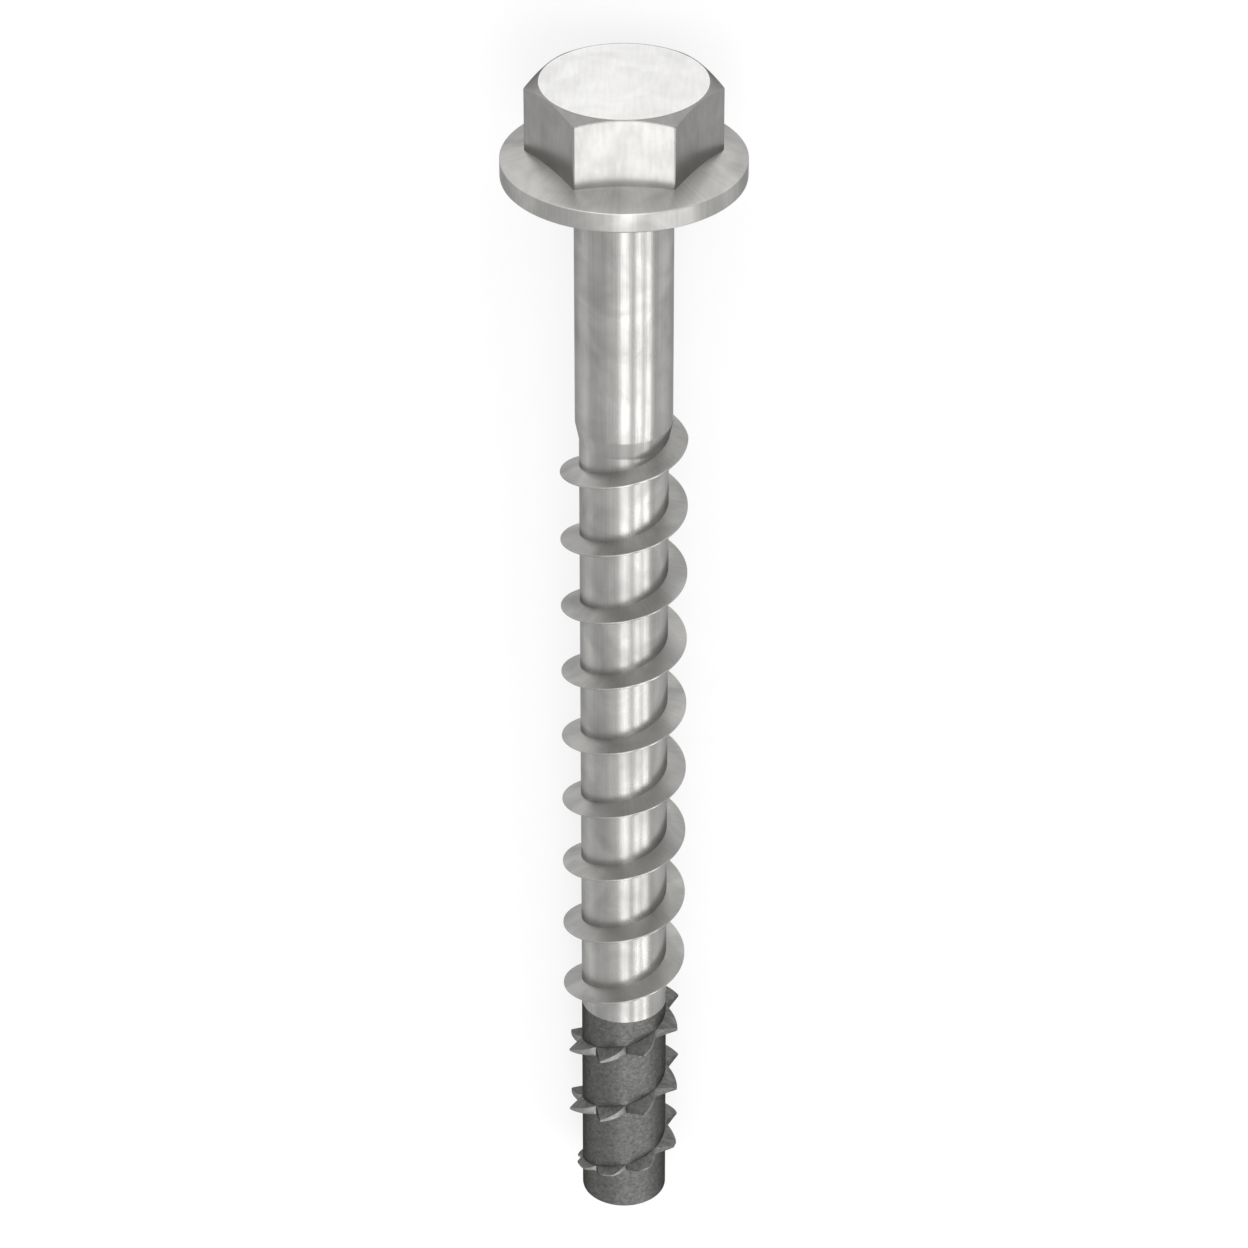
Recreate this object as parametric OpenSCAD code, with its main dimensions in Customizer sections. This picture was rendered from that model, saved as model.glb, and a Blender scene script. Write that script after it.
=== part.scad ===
// Concrete screw with a hexagon flange head, a coarse thread and a hardened cutting tip.
//
// The screw is drawn on its own axis, head up, with the flange's underside at height 0.
// Its own X axis is the side that faces up once the screw is laid down.
// It lies as it comes to rest on a table: on the flange's edge and on two teeth of the tip.

/* [Head] */
// Width of the hexagon across its flats
hex_width = 10; // [8:0.1:12]
// Turn of the hexagon, from a flat that faces the upper side
hex_turn = 2; // [-30:0.1:30]
// Height of the whole head above the flange's underside
head_height = 6; // [4:0.1:9]
// Slope of the chamfer that cuts the hexagon's corners
chamfer_slope = 30; // [15:1:40]
// Distance from the flats in to the chamfer's upper circle
chamfer_inset = 0.04; // [0.02:0.01:0.5]
// Diameter of the flange
flange_width = 14.4; // [14:0.1:20]
// Height of the flange's rim
rim_height = 1.2; // [0.6:0.1:2]
// Slope of the flange's upper side
flange_slope = 16; // [5:1:25]

/* [Shank] */
// Diameter of the smooth shank
shank_width = 5.86; // [5.6:0.01:7]
// Length of the smooth shank under the flange
shank_length = 16.3; // [8:0.1:25]
// Length of the taper from the shank to the thread's core
taper_length = 1.2; // [0.5:0.1:3]

/* [Thread] */
// Diameter of the core that carries the thread
core_width = 5.38; // [4.6:0.01:5.6]
// Diameter over the thread's crest
crest_width = 7.68; // [7:0.01:9]
// Distance along the axis from one turn to the next
pitch = 4.734; // [3.5:0.001:6]
// Width of the crest's narrow edge
crest_edge = 0.12; // [0.05:0.01:0.3]
// Slope of the upper flank, from a plane square to the axis
upper_slope = 16.5; // [10:0.5:28]
// Slope of the lower flank, from a plane square to the axis
lower_slope = 11; // [6:0.5:28]
// Angle from the upper side to where the thread reaches its full height
thread_turn = 91.8; // [0:0.1:360]
// Angle over which the thread rises to its full height
rise_angle = 115; // [60:1:240]
// Length from the flange's underside to the weld that joins the tip
body_length = 59; // [45:0.1:90]

/* [Tip] */
// Length of the tip below the weld
tip_length = 14.9; // [11:0.1:22]
// Number of teeth in one turn
teeth_count = 8; // [6:1:12]
// Height of the notches' floor above the core
notch_floor = 0.03; // [0.02:0.01:0.6]
// Distance by which the teeth's corners stay below the thread's crest
corner_inset = 0.07; // [0.02:0.01:0.2]
// Share of each tooth's angle that its steep front face takes
front_share = 0.38; // [0.25:0.01:0.6]
// Angle over which the last teeth run down to the core
fade_angle = 520; // [180:1:720]
// Length of the plain end below the last tooth
plain_end = 0.75; // [0.7:0.05:3]

/* [Hidden] */

$fn = 96;
steel_color = [0.72, 0.71, 0.68];
tip_color = [0.33, 0.33, 0.32];

// Radii
flange_radius = flange_width / 2;
shank_radius = shank_width / 2;
core_radius = core_width / 2;
crest_radius = crest_width / 2;
tooth_radius = crest_radius - corner_inset;
notch_radius = core_radius + notch_floor;
corner_radius = hex_width / 2 / cos(30);
chamfer_radius = hex_width / 2 - chamfer_inset;

// Heights on the screw's own axis
// The flange's slope runs on inside the hexagon, up to the shank's width
cone_height = rim_height + (flange_radius - shank_radius) * tan(flange_slope);
taper_end = -shank_length - taper_length;
weld_height = -body_length;
tip_height = weld_height - tip_length;

// The ridge's root is sunk this far below the core's surface
root_sink = 0.3;
root_radius = core_radius - root_sink;
// The ridge begins and ends with its crest this far below the core's surface
end_sink = 0.1;
end_radius = core_radius - end_sink;
// Angle between two sections of the plain ridge
section_angle = 7.5;
// Angle past the weld at which a whole section of the ridge lies on one side of it
weld_overlap = 75;

// Angles wound down along the thread, from where it reaches its full height
function winding_at(height) = (taper_end - height) / pitch * 360;
weld_winding = winding_at(weld_height);
fade_end = winding_at(tip_height + plain_end);

// Angles of a tooth's front face and of its back
tooth_angle = 360 / teeth_count;
front_angle = tooth_angle * front_share;
back_angle = tooth_angle - front_angle;

// Two corners lie half a tooth to each side of the lower side, turned a little so that both bear
seat_turn = 0.2;
tooth_offset = thread_turn - tooth_angle / 2 + seat_turn;

// The front face of a tooth is a flat: the radius at an angle on the line from corner to notch
function front_radius(angle) =
    tooth_radius * notch_radius * sin(front_angle)
    / (tooth_radius * sin(angle) + notch_radius * sin(front_angle - angle));

// The back of a tooth rises from the notch to the next corner in a rounded spiral
back_rounding = 1.2;
function back_radius(angle) =
    tooth_radius - (tooth_radius - notch_radius) * pow(1 - angle / back_angle, back_rounding);

function saw_radius(angle) =
    angle < front_angle ? front_radius(angle) : back_radius(angle - front_angle);

// Radius of the crest where the thread rises out of the shank and where it runs out on the tip
fade_power = 2.5;
function rise_crest(winding) = end_radius + (crest_radius - end_radius) * min(1, 1 + winding / rise_angle);
function fade_crest(winding) =
    let (share = max(0, 1 - (fade_end - winding) / fade_angle))
    end_radius + (crest_radius - end_radius) * (1 - pow(share, fade_power));

// Sections of the body's ridge: angle wound down, radius of the crest and radius cut off at
body_ridge = [
    for (winding = [-rise_angle : section_angle : weld_winding + weld_overlap])
        let (crest = rise_crest(winding))
        [winding, crest, crest]
];

// Angles of the sections of one tooth, from its corner
front_steps = 3;
back_steps = 4;
tooth_sections = concat(
    [for (i = [0 : front_steps - 1]) front_angle * i / front_steps],
    [for (i = [0 : back_steps - 1]) front_angle + back_angle * i / back_steps]
);

// Sections of the tip's ridge, in the same form
first_tooth = floor((weld_winding - weld_overlap - tooth_offset) / tooth_angle);
last_tooth = ceil((fade_end - tooth_offset) / tooth_angle);
tip_ridge = [
    for (tooth = [first_tooth : last_tooth], angle = tooth_sections)
        let (winding = tooth_offset + tooth * tooth_angle + angle, crest = fade_crest(winding))
        if (winding <= fade_end) [winding, crest, min(saw_radius(angle), crest)]
];

// Reach of the ridge along the axis above and below its middle, at a depth below its crest
function upper_reach(depth) = crest_edge / 2 + depth * tan(upper_slope);
function lower_reach(depth) = crest_edge / 2 + depth * tan(lower_slope);

function ridge_height(winding) = taper_end - pitch * winding / 360;

function ridge_point(winding, radius, height) =
    [radius * cos(thread_turn - winding), radius * sin(thread_turn - winding), height];

// Four corners of a section: root and edge on the upper flank, then on the lower
function section_points(section) =
    let (
        winding = section[0],
        edge_radius = section[2],
        middle = ridge_height(winding),
        root_depth = section[1] - root_radius,
        edge_depth = section[1] - edge_radius
    )
    [
        ridge_point(winding, root_radius, middle + upper_reach(root_depth)),
        ridge_point(winding, edge_radius, middle + upper_reach(edge_depth)),
        ridge_point(winding, edge_radius, middle - lower_reach(edge_depth)),
        ridge_point(winding, root_radius, middle - lower_reach(root_depth))
    ];

// How far the screw can lean from the flange's edge to a section of the ridge, as a slope
function lean(section) =
    let (drop = lower_reach(section[1] - section[2]) - ridge_height(section[0]))
    (flange_radius + section[2] * cos(thread_turn - section[0])) / drop;

body_leans = [for (section = body_ridge) if (section[0] < weld_winding) lean(section)];
tip_leans = [for (section = tip_ridge) if (section[0] > weld_winding) lean(section)];
end_lean = (flange_radius - core_radius) / -tip_height;
rest_tilt = atan(min(concat(body_leans, tip_leans, [end_lean])));

// Where the laid-down screw stands, with its box centred over the origin
rest_lift = flange_radius * cos(rest_tilt);
head_reach = head_height * cos(rest_tilt) + chamfer_radius * sin(rest_tilt);
tip_reach = -tip_height * cos(rest_tilt) + core_radius * sin(rest_tilt);
rest_shift = (head_reach - tip_reach) / 2;

// Closed solid through a list of sections of four points each
module ridge(sections) {
    count = len(sections);
    points = [for (section = sections, point = section_points(section)) point];
    sides = [
        for (i = [0 : count - 2], j = [0 : 3])
            let (a = 4 * i + j, b = 4 * i + (j + 1) % 4)
            each [[a, b, a + 4], [b, b + 4, a + 4]]
    ];
    first_cap = [[0, 2, 1], [0, 3, 2]];
    last_cap = [for (cap = first_cap) [for (k = [2, 1, 0]) 4 * (count - 1) + cap[k]]];
    polyhedron(points, concat(sides, first_cap, last_cap));
}

// Hexagon with its upper corners cut by a cone, rooted in the flange
module hexagon() {
    intersection() {
        translate([0, 0, rim_height / 2])
            rotate(hex_turn + 30)
                cylinder(h = head_height, r = corner_radius, $fn = 6);
        turned()
            polygon([
                [0, 0],
                [flange_radius, 0],
                [flange_radius, head_height - (flange_radius - chamfer_radius) * tan(chamfer_slope)],
                [chamfer_radius, head_height],
                [0, head_height]
            ]);
    }
}

// Turned solid whose surface starts midway between a flat and a corner of the hexagon
module turned() {
    rotate(hex_turn + 15)
        rotate_extrude()
            children();
}

// Flange, shank, taper and core, as one turned profile
module turned_body() {
    turned()
        polygon([
            [0, cone_height],
            [shank_radius, cone_height],
            [flange_radius, rim_height],
            [flange_radius, 0],
            [shank_radius, 0],
            [shank_radius, -shank_length],
            [core_radius, taper_end],
            [core_radius, weld_height],
            [0, weld_height]
        ]);
}

// Space on one side of the weld, wide and long enough to hold the ridge's overlap
module beyond_weld(side) {
    reach = pitch + crest_width;
    translate([0, 0, side > 0 ? weld_height : weld_height - reach])
        cylinder(h = reach, r = crest_width);
}

// Lays the screw on its side, at rest on the flange's edge and the tip's teeth
module laid_down() {
    translate([rest_shift, 0, rest_lift])
        rotate([0, rest_tilt - 90, 0])
            children();
}

module screw_body() {
    color(steel_color)
        laid_down() {
            turned_body();
            hexagon();
            difference() {
                ridge(body_ridge);
                beyond_weld(-1);
            }
        }
}

module cutting_tip() {
    color(tip_color)
        laid_down() {
            translate([0, 0, tip_height])
                cylinder(h = tip_length, r = core_radius);
            difference() {
                ridge(tip_ridge);
                beyond_weld(1);
            }
        }
}

screw_body();
cutting_tip();
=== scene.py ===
import math
from collections import namedtuple

import bmesh
import bpy
import numpy as np
from mathutils import Matrix, Vector


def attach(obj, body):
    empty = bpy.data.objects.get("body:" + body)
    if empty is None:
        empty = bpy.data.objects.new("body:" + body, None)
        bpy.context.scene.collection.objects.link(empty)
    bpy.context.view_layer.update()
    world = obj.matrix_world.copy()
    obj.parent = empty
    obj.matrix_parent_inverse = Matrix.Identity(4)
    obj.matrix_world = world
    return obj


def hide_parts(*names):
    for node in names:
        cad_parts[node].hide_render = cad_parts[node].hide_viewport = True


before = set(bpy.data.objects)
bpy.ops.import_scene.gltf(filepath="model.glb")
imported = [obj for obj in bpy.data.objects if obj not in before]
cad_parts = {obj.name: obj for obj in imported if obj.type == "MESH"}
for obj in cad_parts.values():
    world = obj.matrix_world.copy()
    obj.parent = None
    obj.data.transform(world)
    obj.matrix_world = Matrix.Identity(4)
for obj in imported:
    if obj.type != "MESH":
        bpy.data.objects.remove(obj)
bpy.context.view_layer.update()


def slope_of(angle):
    """Rise of a slope, from its angle in degrees."""
    return math.tan(math.radians(angle))


# Sizes are millimetres and degrees on the screw's own axis: head up, flange's underside at height 0.
# Its own X axis is the side that faces up once the screw is laid down, and turns are counted from it.

# Head: hexagon, chamfer on its corners and flange
HEX_R = 5.0  # half the width across the flats
HEX_TURN = 2.0  # from a flat that faces up
HALF_SIDE = 30.0  # half the angle that one side of the hexagon takes
HEAD_TOP = 6.0
CHAMFER_R = HEX_R - 0.04  # the chamfer's upper circle
CHAMFER_SLOPE = slope_of(30)
SEAT_R = 7.2  # the flange's edge
RIM_HEIGHT = 1.2
FLANGE_SLOPE = slope_of(16)

# Shank, taper and core
SHANK_R = 2.93
SHANK_END = -16.3
TAPER_END = SHANK_END - 1.2
CORE_R = 2.69
WELD_Z = -59.0
TIP_Z = WELD_Z - 14.9

# Thread
CREST_R = 3.84
END_R = CORE_R - 0.1  # the ridge begins and ends with its crest here, below the core's surface
PITCH = 4.734
CREST_EDGE = 0.12  # width of the crest
UPPER_SLOPE = slope_of(16.5)
LOWER_SLOPE = slope_of(11)
THREAD_TURN = 91.8  # where the thread reaches its full height
RISE_ANGLE = 115

# Teeth of the tip: two corners lie half a tooth to each side of the lower side, turned so that both bear
TOOTH_COUNT = 8
TOOTH_ANGLE = 360 / TOOTH_COUNT
SEAT_TURN = 0.2
TOOTH_TURN = TOOTH_ANGLE / 2 - SEAT_TURN
FRONT_ANGLE = TOOTH_ANGLE * 0.38
TOOTH_R = CREST_R - 0.07
NOTCH_R = CORE_R + 0.03
BACK_POWER = 1.2  # rounding of the teeth's backs
PLAIN_END = 0.75  # length below the last tooth
FADE_ANGLE = 520
FADE_POWER = 2.5

# Soft edges, which the CAD part leaves out
HEX_EDGE = 0.14
TOP_EDGE = 0.025
SIDE_EDGE = 0.03
RIM_EDGE = 0.05
UNDER_EDGE = 0.12
FILLET = 0.25
CREST_BEVEL = 0.03
BEVEL_SHARE = 0.2  # the most that the bevel takes of a low ridge's height
END_EDGE = 0.1
# Middle of the top's rounding, from the chamfer's circle, and of the sides' rounding, from their upper end
TOP_ROUND = (-0.018, -0.006)
SIDE_ROUND = (-0.006, 0.022)
TOP_DROP = 0.004  # how far the top's rounding ends below the chamfer

# Round surfaces stay a little inside the CAD part's, whose facets cut below a true round
FLANGE_R = SEAT_R - 0.006
FADE_INSET = 0.012
SAW_INSET = 0.028
TOOTH_BLUNT = 0.01  # taken off the teeth's corners

# Lines of the mesh: radii and heights, shares of the stretch between two edges, turns about a corner
MIDDLE_RING = 0.8
TOP_RINGS = (0.6, 1.4, 2.2, 3.0, 3.8, 4.5, 4.88, 4.91)
CHAMFER_GAP = 0.02
CHAMFER_SHARES = (0.1, 0.5, 0.9, 1)
SIDE_SHARES = (0.01, 0.25, 0.5, 0.75, 1)
FLANGE_SHARES = (0.25, 0.5, 0.75, 0.98)
RIM_RINGS = (1.13, 0.6, 0.14)
UNDER_RINGS = (7.04, 6.2, 5.2)
FILLET_RINGS = (4.2, SHANK_R + FILLET + 0.02)
SHANK_RINGS = np.linspace(-0.3, -14, 10)
THREAD_TOP = -14.9
FLANK_SHARES = (0, 0.35, 0.7, 1)
CORE_SHARES = (0.25, 0.5, 0.75)
TAPER_GAP = 0.05
END_GAP = 0.02
ROOT_STEPS = 4
TURN_STEP = 3
HEX_OFFSETS = (-1.6, -0.95, -0.7, -0.45, -0.2, 0, 0.2, 0.45, 0.7, 0.95, 1.6)
TOOTH_OFFSETS = (-1, -0.4, 0, 0.4, 1)
MERGE_DISTANCE = 2e-7  # in metres
SHARP_ANGLE = math.radians(32)


def ridge_height(winding):
    """Height of the ridge's middle, from the angle wound down past the turn of full height."""
    return TAPER_END - PITCH * winding / 360


def winding_at(height):
    return (TAPER_END - height) / PITCH * 360


WELD_WINDING = winding_at(WELD_Z)
FADE_END = winding_at(TIP_Z + PLAIN_END)


def fade_crest(winding):
    """Radius of the tip's crest, which runs down to the core before the plain end."""
    share = min(max(1 - (FADE_END - winding) / FADE_ANGLE, 0), 1)
    return END_R + (CREST_R - END_R) * (1 - share ** FADE_POWER)


def lean(winding):
    """Slope of the axis with the flange's edge and the tooth's corner at this angle on the table."""
    crest = fade_crest(winding)
    corner = min(TOOTH_R, crest)
    drop = CREST_EDGE / 2 + (crest - corner) * LOWER_SLOPE - ridge_height(winding)
    return (SEAT_R + corner * math.cos(math.radians(THREAD_TURN - winding))) / drop


# The laid-down pose: the screw rests on the flange's edge and on the teeth, its box centred over the origin
corner_windings = np.arange(THREAD_TURN - TOOTH_TURN, FADE_END, TOOTH_ANGLE)
tilt = math.atan(min(lean(winding) for winding in corner_windings if winding > WELD_WINDING))
lift = SEAT_R * math.cos(tilt)
shift = ((HEAD_TOP + TIP_Z) * math.cos(tilt) + (CHAMFER_R - CORE_R) * math.sin(tilt)) / 2
own_to_world = Matrix((
    (math.sin(tilt), 0, -math.cos(tilt), shift / 1000),
    (0, 1, 0, 0),
    (math.cos(tilt), 0, math.sin(tilt), lift / 1000),
    (0, 0, 0, 1),
))


def between(start, end, shares):
    return [start + (end - start) * share for share in shares]


def curve(start, corner, end, count=5):
    """Points of a rounded corner, from start to end."""
    start, corner, end = np.array((start, corner, end))
    return [
        tuple((1 - t) ** 2 * start + 2 * t * (1 - t) * corner + t * t * end)
        for t in np.linspace(0, 1, count)
    ]


def hex_radius(turn):
    """Distance of the hexagon's side from the axis, with its upright edges rounded."""
    from_flat = (turn - HEX_TURN + HALF_SIDE) % (2 * HALF_SIDE) - HALF_SIDE
    from_edge = math.radians(HALF_SIDE - abs(from_flat))
    inner_flat = HEX_R - HEX_EDGE
    edge_middle = inner_flat / math.cos(math.radians(HALF_SIDE))
    edge_reach = math.radians(HALF_SIDE) - math.atan(inner_flat * slope_of(HALF_SIDE) / HEX_R)
    if from_edge < edge_reach:
        aside = edge_middle * math.sin(from_edge)
        return edge_middle * math.cos(from_edge) + math.sqrt(HEX_EDGE ** 2 - aside ** 2)
    return HEX_R / math.cos(math.radians(from_flat))


def chamfer_height(radius):
    return HEAD_TOP - (radius - CHAMFER_R) * CHAMFER_SLOPE


def flange_height(radius):
    return RIM_HEIGHT + (FLANGE_R - radius) * FLANGE_SLOPE


def head_profile(turn):
    """Radius and height of the head's lines at one turn, from its top to the flange's underside."""
    side = hex_radius(turn)
    inner = min(CHAMFER_R + TOP_EDGE, side - CHAMFER_GAP)
    outer = max(side - SIDE_EDGE, inner)
    high = chamfer_height(side) - SIDE_EDGE
    rim_in = FLANGE_R - RIM_EDGE
    rim_low = RIM_HEIGHT - RIM_EDGE
    points = [(radius, HEAD_TOP) for radius in TOP_RINGS]
    points.append((CHAMFER_R + TOP_ROUND[0], HEAD_TOP + TOP_ROUND[1]))
    points.append((inner, chamfer_height(inner) - TOP_DROP))
    points += [(radius, chamfer_height(radius)) for radius in between(inner, outer, CHAMFER_SHARES)]
    points.append((side + SIDE_ROUND[0], high + SIDE_ROUND[1]))
    points.append((side, high))
    points += [(side, height) for height in between(high, flange_height(side), SIDE_SHARES)]
    points += [(radius, flange_height(radius)) for radius in between(side, rim_in, FLANGE_SHARES)]
    points += curve((rim_in, flange_height(rim_in)), (FLANGE_R, RIM_HEIGHT), (FLANGE_R, rim_low))
    points += [(FLANGE_R, height) for height in RIM_RINGS]
    points += curve((FLANGE_R, UNDER_EDGE), (FLANGE_R, 0), (FLANGE_R - UNDER_EDGE, 0), 4)
    points += [(radius, 0) for radius in UNDER_RINGS]
    return points


def shank_profile(turn):
    """Lines of the flange's inner underside and the smooth shank, the same at every turn."""
    points = [(radius, 0) for radius in FILLET_RINGS]
    points += curve((SHANK_R + FILLET, 0), (SHANK_R, 0), (SHANK_R, -FILLET))
    points += [(SHANK_R, height) for height in SHANK_RINGS]
    return points


def weld_profile(turn):
    """Line of the flat disc on which the two pieces meet."""
    return [(MIDDLE_RING, WELD_Z)]


def end_profile(turn):
    """Lines of the tip's end, with its edge rounded."""
    edge = curve((CORE_R, TIP_Z + END_EDGE), (CORE_R, TIP_Z), (CORE_R - END_EDGE, TIP_Z), 4)
    return edge + [(MIDDLE_RING, TIP_Z)]


def body_base(height):
    """Radius of the shank, the taper or the core."""
    share = min(max((SHANK_END - height) / (SHANK_END - TAPER_END), 0), 1)
    return SHANK_R + (CORE_R - SHANK_R) * share


def tip_base(height):
    return CORE_R


def body_crest(winding):
    """Radius of the body's crest, which rises out of the shank."""
    return END_R + (CREST_R - END_R) * min(max(1 + winding / RISE_ANGLE, 0), 1)


def tip_crest(winding):
    return fade_crest(winding) - FADE_INSET


def uncut(turn):
    """The body's thread keeps its whole crest."""
    return CREST_R


def saw_radius(turn):
    """Radius of the saw teeth: a flat front from the corner to the notch, then a rounded back."""
    angle = (TOOTH_TURN - turn) % TOOTH_ANGLE
    if angle < FRONT_ANGLE:
        whole, near, far = np.sin(np.radians((FRONT_ANGLE, angle, FRONT_ANGLE - angle)))
        radius = TOOTH_R * NOTCH_R * whole / (TOOTH_R * near + NOTCH_R * far)
    else:
        share = 1 - (angle - FRONT_ANGLE) / (TOOTH_ANGLE - FRONT_ANGLE)
        radius = TOOTH_R - (TOOTH_R - NOTCH_R) * share ** BACK_POWER
    return min(radius, TOOTH_R - TOOTH_BLUNT) - SAW_INSET


# A thread: its turns, the base it stands on, its crest, the radius it is cut at, the heights of its two
# ends, and the heights between two turns at which the base has a line
Thread = namedtuple("Thread", "turns base crest cut top low marks")
body_thread = Thread(
    turns=range(-3, 11),
    base=body_base,
    crest=body_crest,
    cut=uncut,
    top=THREAD_TOP,
    low=WELD_Z,
    marks=(SHANK_END + TAPER_GAP, SHANK_END - TAPER_GAP, TAPER_END + TAPER_GAP, TAPER_END - TAPER_GAP),
)
tip_thread = Thread(
    turns=range(6, 15),
    base=tip_base,
    crest=tip_crest,
    cut=saw_radius,
    top=WELD_Z,
    low=TIP_Z + END_EDGE + END_GAP,
    marks=(WELD_Z, WELD_Z),
)


def ridge_lines(turn, number, thread):
    """Radius and height of the lines over one ridge, from its upper root to its lower root."""
    winding = THREAD_TURN - turn + 360 * number
    middle = ridge_height(winding)
    crest = thread.crest(winding)
    flanks = []
    for side, slope in ((1, UPPER_SLOPE), (-1, LOWER_SLOPE)):
        # The root is where the flank meets the base, found in a few steps because the base tapers
        root_reach = CREST_EDGE / 2
        for _ in range(ROOT_STEPS):
            root = thread.base(middle + side * root_reach)
            root_reach = CREST_EDGE / 2 + max(crest - root, 0) * slope
        edge = max(min(crest, thread.cut(turn)), root)
        edge_reach = min(CREST_EDGE / 2 + max(crest - edge, 0) * slope, root_reach)
        bevel = min(CREST_BEVEL, BEVEL_SHARE * (edge - root))
        climb = edge - bevel - root
        flank = [(root + climb * t, root_reach - climb * t * slope) for t in FLANK_SHARES]
        flank.append((edge, max(edge_reach - bevel, edge_reach / 2)))
        flanks.append([(radius, middle + side * reach) for radius, reach in flank])
    upper, lower = flanks
    return upper + [(edge, middle)] + lower[::-1]


def thread_column(turn, thread):
    """Radius and height of a thread's lines at one turn, between its two ends."""
    ridges = [ridge_lines(turn, number, thread) for number in thread.turns]
    lines = []
    for ridge, below in zip(ridges, ridges[1:]):
        high = ridge[-1][1]
        low = below[0][1]
        stops = [min(max(mark, low), high) for mark in thread.marks]
        stops += between(stops[-1], low, CORE_SHARES)
        lines += ridge + [(thread.base(height), height) for height in stops]
    radius, height = np.array(lines).T
    clamped = np.clip(height, thread.low, thread.top)
    return np.interp(-clamped, -height, radius), clamped


def plain_part(turns, profile):
    """Rings of one profile: their turns, radii and heights, with no step from circle to circle."""
    return turns, np.array([profile(turn) for turn in turns]).transpose(1, 0, 2), 0


def thread_part(turns, thread):
    """Rings that wind down: each one goes on as the ring of the next ridge after a full circle."""
    rings = np.array([thread_column(turn, thread) for turn in turns]).transpose(2, 0, 1)
    return turns, rings, rings.shape[0] // (len(thread.turns) - 1)


def add_face(bm, *corners):
    """Face over the corners, each taken once."""
    corners = list(dict.fromkeys(corners))
    if len(corners) > 2:
        bm.faces.new(corners)


def add_rings(bm, turns, rings, step):
    """Grid of vertices on the rings, with faces from ring to ring."""
    angle = np.radians(turns)
    radius = rings[..., 0] / 1000
    spots = np.stack([radius * np.cos(angle), radius * np.sin(angle), rings[..., 1] / 1000], -1)
    grid = [[bm.verts.new(spot) for spot in row] for row in spots.tolist()]
    for i in range(len(grid) - 1):
        for j in range(len(turns) - 1):
            add_face(bm, grid[i][j], grid[i + 1][j], grid[i + 1][j + 1], grid[i][j + 1])
        next_up = grid[max(i - step, 0)][0]
        next_low = grid[max(i + 1 - step, 0)][0]
        add_face(bm, grid[i][-1], grid[i + 1][-1], next_low, next_up)
    return grid


def add_bridge(bm, upper, upper_turns, lower, lower_turns):
    """Triangles between two rings whose turns differ."""
    i = 0
    j = 0
    while i < len(upper) or j < len(lower):
        i_next = (i + 1) % len(upper)
        j_next = (j + 1) % len(lower)
        upper_turn = upper_turns[i_next] + 360 * ((i + 1) // len(upper))
        lower_turn = lower_turns[j_next] + 360 * ((j + 1) // len(lower))
        if j == len(lower) or (i < len(upper) and upper_turn <= lower_turn):
            add_face(bm, upper[i % len(upper)], lower[j % len(lower)], upper[i_next])
            i += 1
        else:
            add_face(bm, upper[i % len(upper)], lower[j % len(lower)], lower[j_next])
            j += 1


def add_cap(bm, ring):
    """Triangles from a flat ring to its middle."""
    middle = bm.verts.new((0, 0, ring[0].co.z))
    for corner, after in zip(ring, ring[1:] + ring[:1]):
        add_face(bm, middle, corner, after)


def skin(name, parts, finish):
    """Closed mesh over the parts' rings, from the first one's middle to the last one's middle."""
    bm = bmesh.new()
    above = None
    for turns, rings, step in parts:
        grid = add_rings(bm, turns, rings, step)
        if above is None:
            add_cap(bm, grid[0])
        else:
            add_bridge(bm, *above, grid[0], turns)
        above = grid[-1], turns
    add_cap(bm, grid[-1][::-1])
    bmesh.ops.remove_doubles(bm, verts=bm.verts, dist=MERGE_DISTANCE)
    bmesh.ops.dissolve_degenerate(bm, edges=bm.edges, dist=MERGE_DISTANCE)
    bm.normal_update()
    for face in bm.faces:
        face.smooth = True
        face.material_index = finish(face)
    bm.transform(own_to_world)
    mesh = bpy.data.meshes.new(name)
    bm.to_mesh(mesh)
    bm.free()
    mesh.set_sharp_from_angle(angle=SHARP_ANGLE)
    piece = bpy.data.objects.new(name, mesh)
    bpy.context.scene.collection.objects.link(piece)
    return piece


# Finishes of the two pieces, in the order of their materials
SHANK, SIDES, TOP, FLANGE, FLANKS, CORE, RIM = range(7)
TIP_CORE, BACKS, TOOTH_FLANKS, TIP_END = range(4)

# How a face is told from its neighbours: by distances, and by shares of its normal
NEAR = 0.001
RIDGE_FOOT = 0.08
ABOVE_CORE = 0.01
ABOVE_FLANGE = 0.012
ABOVE_TIP_CORE = 0.02
ABOVE_END = 0.05
INSIDE_RIM = 0.02
ALONG_AXIS = 0.6
OUTWARD = 0.55


def body_finish(face):
    spot = face.calc_center_median() * 1000
    radius = math.hypot(spot.x, spot.y)
    if spot.z < -NEAR:
        if spot.z < THREAD_TOP and radius > CORE_R + RIDGE_FOOT and abs(face.normal.z) > ALONG_AXIS:
            return FLANKS
        return CORE if spot.z < TAPER_END and radius < CORE_R + ABOVE_CORE else SHANK
    if spot.z > HEAD_TOP - NEAR:
        return TOP
    if spot.z > flange_height(radius) + ABOVE_FLANGE:
        return SIDES
    on_rim = spot.z < RIM_HEIGHT - RIM_EDGE and radius > FLANGE_R - INSIDE_RIM
    return RIM if on_rim else FLANGE


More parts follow.
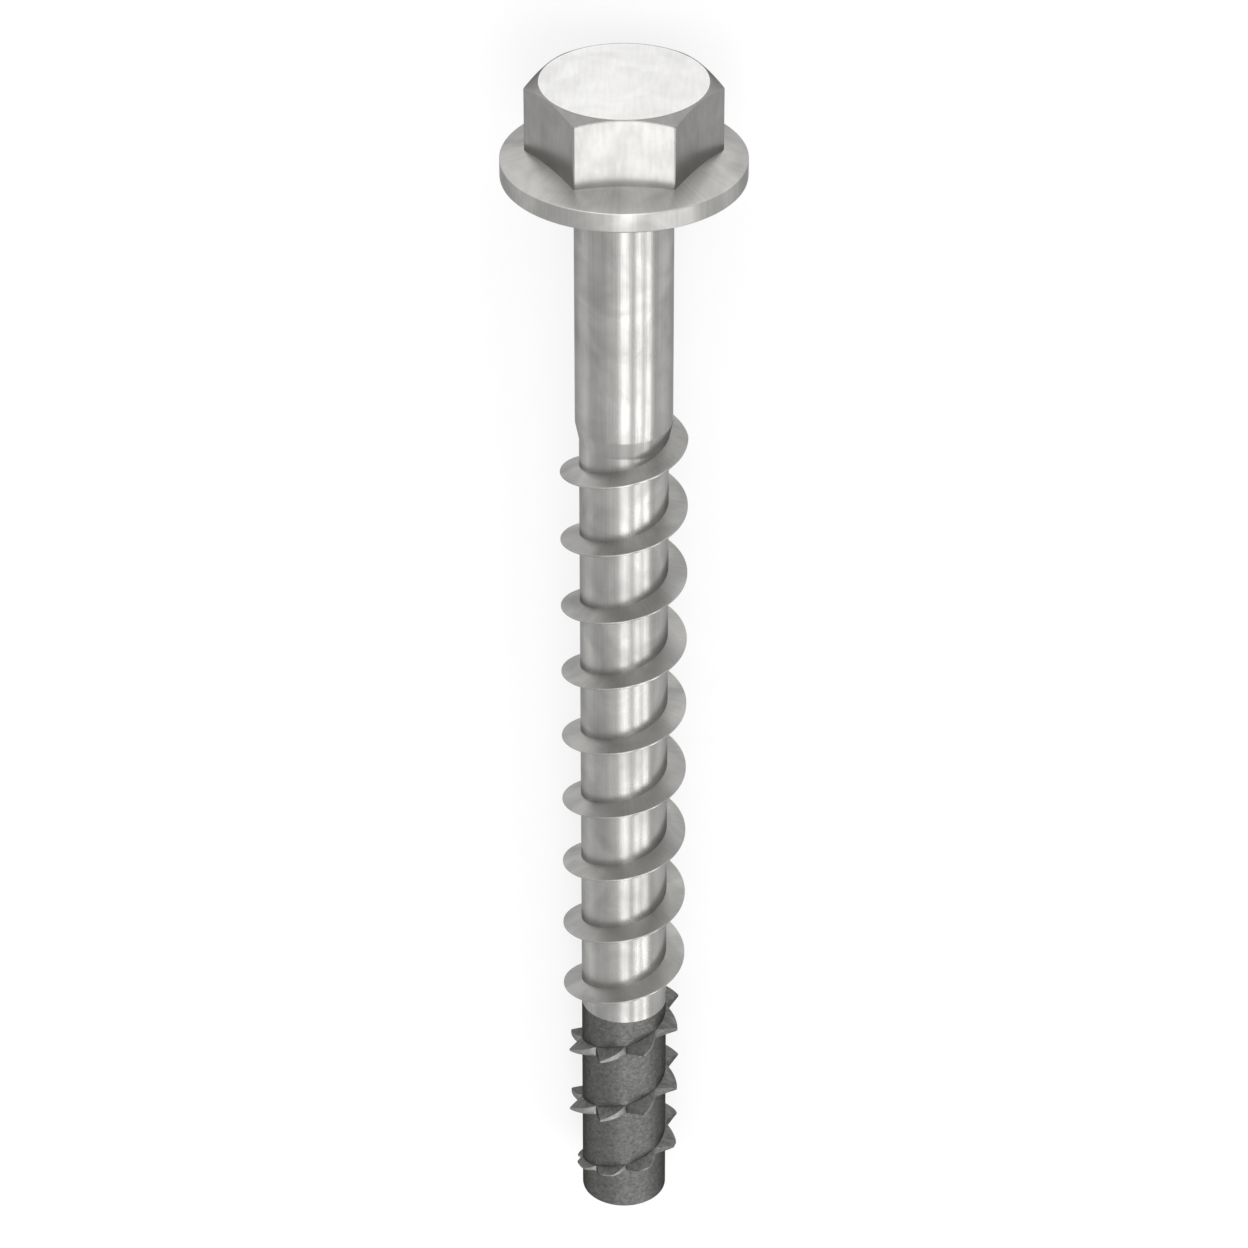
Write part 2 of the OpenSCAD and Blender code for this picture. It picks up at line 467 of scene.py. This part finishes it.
def tip_finish(face):
    spot = face.calc_center_median() * 1000
    radius = math.hypot(spot.x, spot.y)
    angle = (TOOTH_TURN - math.degrees(math.atan2(spot.y, spot.x))) % TOOTH_ANGLE
    outward = (face.normal.x * spot.x + face.normal.y * spot.y) / radius
    if radius < CORE_R + ABOVE_TIP_CORE:
        return TIP_END if spot.z < TIP_Z + ABOVE_END else TIP_CORE
    if abs(face.normal.z) > ALONG_AXIS:
        return TOOTH_FLANKS
    return BACKS if angle > FRONT_ANGLE and outward > OUTWARD else TIP_CORE


def spread(centres=(), offsets=()):
    """Sorted turns: an even spread, with more of them about the given centres."""
    some = list(np.arange(0, 360, TURN_STEP))
    some += [(centre + offset) % 360 for centre in centres for offset in offsets]
    return np.unique(np.round(some, 3))


hex_corners = [HEX_TURN + HALF_SIDE + 2 * HALF_SIDE * k for k in range(6)]
tooth_corners = [TOOTH_TURN - TOOTH_ANGLE * k for k in range(TOOTH_COUNT)]
notches = [corner - FRONT_ANGLE for corner in tooth_corners]
even_turns = spread()
head_turns = spread(hex_corners, HEX_OFFSETS)
tip_turns = spread(tooth_corners + notches, TOOTH_OFFSETS)

body = skin("screw_body_fine", [
    plain_part(head_turns, head_profile),
    plain_part(even_turns, shank_profile),
    thread_part(even_turns, body_thread),
    plain_part(even_turns, weld_profile),
], body_finish)
tip = skin("cutting_tip_fine", [
    plain_part(tip_turns, weld_profile),
    thread_part(tip_turns, tip_thread),
    plain_part(tip_turns, end_profile),
], tip_finish)

for piece, node, slot in ((body, "screw_body", "stainless_steel"), (tip, "cutting_tip", "hardened_steel")):
    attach(piece, "root")
    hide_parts(node)


def add(tree, kind, inputs=None, **settings):
    """New shader node; an input is linked where a socket is given, and set otherwise."""
    node = tree.nodes.new("ShaderNode" + kind)
    for key, value in settings.items():
        setattr(node, key, value)
    for key, value in (inputs or {}).items():
        if isinstance(value, bpy.types.NodeSocket):
            tree.links.new(value, node.inputs[key])
        else:
            node.inputs[key].default_value = value
    return node.outputs


def own_place(tree):
    """Position on the screw's own axes, in metres."""
    return add(tree, "Mapping", {
        "Vector": add(tree, "TexCoord")["Object"],
        "Rotation": (0, math.pi / 2 - tilt, 0),
        "Location": own_to_world.inverted().translation,
    })[0]


def scaled(tree, vector, factors):
    return add(tree, "VectorMath", {0: vector, 1: factors}, operation="MULTIPLY")[0]


def wound(tree, own, around, factors):
    """Coordinates that run quickly round the axis, and by the given factors along each own axis."""
    flat = scaled(tree, own, (1, 1, 0))
    unit = add(tree, "VectorMath", {0: flat}, operation="NORMALIZE")[0]
    wide = add(tree, "VectorMath", {0: unit, "Scale": around}, operation="SCALE")[0]
    return add(tree, "VectorMath", {0: own, 1: factors, 2: wide}, operation="MULTIPLY_ADD")[0]


def noise(tree, vector, scale=1, detail=3, distortion=0):
    return add(tree, "TexNoise", {
        "Vector": vector, "Scale": scale, "Detail": detail, "Distortion": distortion,
    })[0]


# Each texture gives two layers of noise: broad clouds, then fine lines

def drawn_lines(tree, own):
    lines = wound(tree, own, around=45, factors=(160, 160, 160))
    return noise(tree, own, scale=330, detail=4, distortion=0.8), noise(tree, lines, detail=4)


def trimmed_faces(tree, own):
    lines = scaled(tree, own, (3200, 3200, 900))
    return noise(tree, own, scale=420, detail=4, distortion=0.6), noise(tree, lines, detail=4)


def brushed_face(tree, own):
    lines = scaled(tree, own, (500, 5200, 1000))
    return noise(tree, own, scale=380, detail=4, distortion=0.8), noise(tree, lines)


def scaled_skin(tree, own):
    lines = wound(tree, own, around=13, factors=(1, 1, 7500))
    return noise(tree, own, scale=3600), noise(tree, lines, distortion=0.6)


# Range of the noise that the colours and the roughness are spread over
NOISE_LOW = 0.3
NOISE_HIGH = 0.7


def metal(name, texture, dark, light, rough, fine_share, edge, bump, depth=1e-5):
    """Metal whose colour and roughness follow a texture; edge is how bright it stays at a grazing view."""
    material = bpy.data.materials.new(name)
    material.use_nodes = True
    tree = material.node_tree
    shader = tree.nodes["Principled BSDF"]
    shader.inputs["Metallic"].default_value = 1
    shader.inputs["Specular Tint"].default_value = (edge, edge, edge, 1)
    cloud, fine = texture(tree, own_place(tree))
    both = add(tree, "Mix", {"Factor": fine_share, "A": cloud, "B": fine}, data_type="FLOAT")[0]
    noise_range = {"Value": both, "From Min": NOISE_LOW, "From Max": NOISE_HIGH}
    tone = add(tree, "MapRange", noise_range)[0]
    colour = add(tree, "Mix", {"Factor": tone, "A": (*dark, 1), "B": (*light, 1)}, data_type="RGBA")
    tree.links.new(colour["Result"], shader.inputs["Base Color"])
    gloss = add(tree, "MapRange", {**noise_range, "To Min": rough[0], "To Max": rough[1]})[0]
    tree.links.new(gloss, shader.inputs["Roughness"])
    relief = add(tree, "Bump", {"Strength": bump, "Distance": depth, "Height": fine})[0]
    tree.links.new(relief, shader.inputs["Normal"])
    return material


# The shank, the core and the rim differ only in their gloss
drawn = {
    "texture": drawn_lines, "dark": (0.29, 0.287, 0.28), "light": (0.49, 0.485, 0.47),
    "fine_share": 0.28, "edge": 0.5, "bump": 0.12,
}
body_materials = {
    SHANK: metal("drawn_steel", rough=(0.3, 0.2), **drawn),
    # Painted shade: the hexagon's sides get a darker steel colour and a lower edge value than the top and
    # flange of the same head, so the side faces render dark. The trimmed texture is their real finish.
    SIDES: metal(
        "trimmed_steel_painted_shade", trimmed_faces, dark=(0.3, 0.296, 0.287), light=(0.39, 0.385, 0.374),
        rough=(0.27, 0.22), fine_share=0.35, edge=0.25, bump=0.05,
    ),
    # Painted light: the head's top gets a near-white steel colour and a full edge value, far brighter than
    # the other steel, so it renders white like a lit face. The brushing is its real texture.
    TOP: metal(
        "brushed_top_painted_light", brushed_face, dark=(0.74, 0.735, 0.72), light=(0.96, 0.955, 0.94),
        rough=(0.36, 0.3), fine_share=0.3, edge=1, bump=0.1,
    ),
    FLANGE: metal(
        "flange_steel", drawn_lines, dark=(0.41, 0.406, 0.394), light=(0.67, 0.663, 0.644),
        rough=(0.42, 0.3), fine_share=0.22, edge=0.4, bump=0.1,
    ),
    FLANKS: metal(
        "rolled_flanks", drawn_lines, dark=(0.3, 0.297, 0.288), light=(0.52, 0.515, 0.5),
        rough=(0.46, 0.36), fine_share=0.22, edge=0.8, bump=0.1,
    ),
    CORE: metal("rolled_core", rough=(0.33, 0.235), **drawn),
    RIM: metal("rim_steel", rough=(0.38, 0.3), **drawn),
}
tip_materials = {
    # Painted shade: an edge value of 0 makes the hardened steel turn black at a grazing view, which draws
    # dark outlines along the tip's edges.
    TIP_CORE: metal(
        "hardened_steel", scaled_skin, dark=(0.1, 0.1, 0.098), light=(0.21, 0.21, 0.206),
        rough=(0.54, 0.42), fine_share=0.6, edge=0, bump=0.4, depth=3e-5,
    ),
    BACKS: metal(
        "cut_faces", scaled_skin, dark=(0.24, 0.24, 0.236), light=(0.34, 0.34, 0.334),
        rough=(0.48, 0.4), fine_share=0.5, edge=0.2, bump=0.1,
    ),
    TOOTH_FLANKS: metal(
        "tooth_flanks", scaled_skin, dark=(0.15, 0.15, 0.147), light=(0.28, 0.28, 0.275),
        rough=(0.66, 0.56), fine_share=0.6, edge=0.2, bump=0.3, depth=2e-5,
    ),
    TIP_END: metal(
        "cut_end", trimmed_faces, dark=(0.1, 0.1, 0.098), light=(0.2, 0.2, 0.196),
        rough=(0.54, 0.44), fine_share=0.6, edge=0.2, bump=0.3, depth=2e-5,
    ),
}
for piece, materials in ((body, body_materials), (tip, tip_materials)):
    for finish in sorted(materials):
        piece.data.materials.append(materials[finish])

# The stage is in metres
FLOOR_SIZE = 6
FLOOR_PAINT = (0.95, 0.95, 0.95, 1)
FLOOR_GLOW = 0.72
WORLD_COLOUR = (0.76, 0.76, 0.76, 1)
LAMP_DISTANCE = 0.5
AXIS_HEIGHT = 0.007


def floor_material():
    """White to the camera and in reflections, with enough paint to keep the screw's shadow."""
    material = bpy.data.materials.new("floor")
    material.use_nodes = True
    tree = material.node_tree
    tree.nodes.clear()
    paint = add(tree, "BsdfDiffuse", {"Color": FLOOR_PAINT})[0]
    glow = add(tree, "Emission")[0]
    path = add(tree, "LightPath")
    seen = path["Is Camera Ray"]
    for ray in ("Is Glossy Ray", "Is Transmission Ray"):
        seen = add(tree, "Math", {0: seen, 1: path[ray]}, operation="MAXIMUM")[0]
    share = add(tree, "Math", {0: seen, 1: FLOOR_GLOW}, operation="MULTIPLY")[0]
    surface = add(tree, "MixShader", {0: share, 1: paint, 2: glow})[0]
    add(tree, "OutputMaterial", {"Surface": surface})
    return material


bpy.ops.mesh.primitive_plane_add(size=FLOOR_SIZE)
floor = bpy.context.object
floor.name = "floor"
floor.data.materials.append(floor_material())

world = bpy.data.worlds.new("studio")
world.use_nodes = True
world.node_tree.nodes["Background"].inputs["Color"].default_value = WORLD_COLOUR
bpy.context.scene.world = world


def pose(side, up, back, place):
    """Matrix of a lamp or a camera that looks away from back."""
    return Matrix((
        (side.x, up.x, back.x, place.x),
        (side.y, up.y, back.y, place.y),
        (side.z, up.z, back.z, place.z),
        (0, 0, 0, 1),
    ))


def lamp(name, along, turn, size, radiance):
    """Soft lamp aimed at the screw: share along X, turn from straight up, size across and along."""
    data = bpy.data.lights.new(name, "AREA")
    data.shape = "RECTANGLE"
    data.size, data.size_y = size
    data.energy = radiance * math.pi * size[0] * size[1]
    obj = bpy.data.objects.new(name, data)
    bpy.context.scene.collection.objects.link(obj)
    angle = math.radians(turn)
    out = math.sqrt(1 - along * along)
    back = Vector((along, out * math.sin(angle), out * math.cos(angle)))
    side = Vector((0, math.cos(angle), -math.sin(angle)))
    place = back * LAMP_DISTANCE + Vector((0, 0, AXIS_HEIGHT))
    obj.matrix_world = pose(side, back.cross(side), back, place)


lamp("front", along=0.52, turn=4, size=(0.17, 0.25), radiance=2.2)
lamp("right", along=0.53, turn=38, size=(0.11, 0.24), radiance=2.5)
lamp("far right", along=0.53, turn=62, size=(0.11, 0.24), radiance=2.5)
lamp("left", along=0.53, turn=-26, size=(0.22, 0.24), radiance=0.25)
lamp("above", along=0.05, turn=6, size=(0.3, 0.24), radiance=1.6)
lamp("head", along=-0.85, turn=0, size=(0.5, 0.4), radiance=1.5)

# Camera at the photograph's angle, on the screw's own axis: turn about it, height of the view and place
CAMERA_TURN = math.radians(1.8)
CAMERA_LOOK = math.radians(32.4)
CAMERA_OUT = 0.25939
CAMERA_UP = 0.13391
CAMERA_LENS = 145.32
CAMERA_SENSOR = 36
CAMERA_START = 0.01

axis = Vector((0, 0, 1))
outward = Vector((math.cos(CAMERA_TURN), math.sin(CAMERA_TURN), 0))
camera_pose = pose(
    side=axis.cross(outward),
    up=math.cos(CAMERA_LOOK) * axis - math.sin(CAMERA_LOOK) * outward,
    back=math.sin(CAMERA_LOOK) * axis + math.cos(CAMERA_LOOK) * outward,
    place=CAMERA_UP * axis + CAMERA_OUT * outward,
)
camera_data = bpy.data.cameras.new("camera")
camera_data.sensor_width = CAMERA_SENSOR
camera_data.lens = CAMERA_LENS
camera_data.clip_start = CAMERA_START
camera = bpy.data.objects.new("camera", camera_data)
bpy.context.scene.collection.objects.link(camera)
camera.matrix_world = own_to_world @ camera_pose
bpy.context.scene.camera = camera

bpy.context.scene.view_settings.view_transform = "Standard"
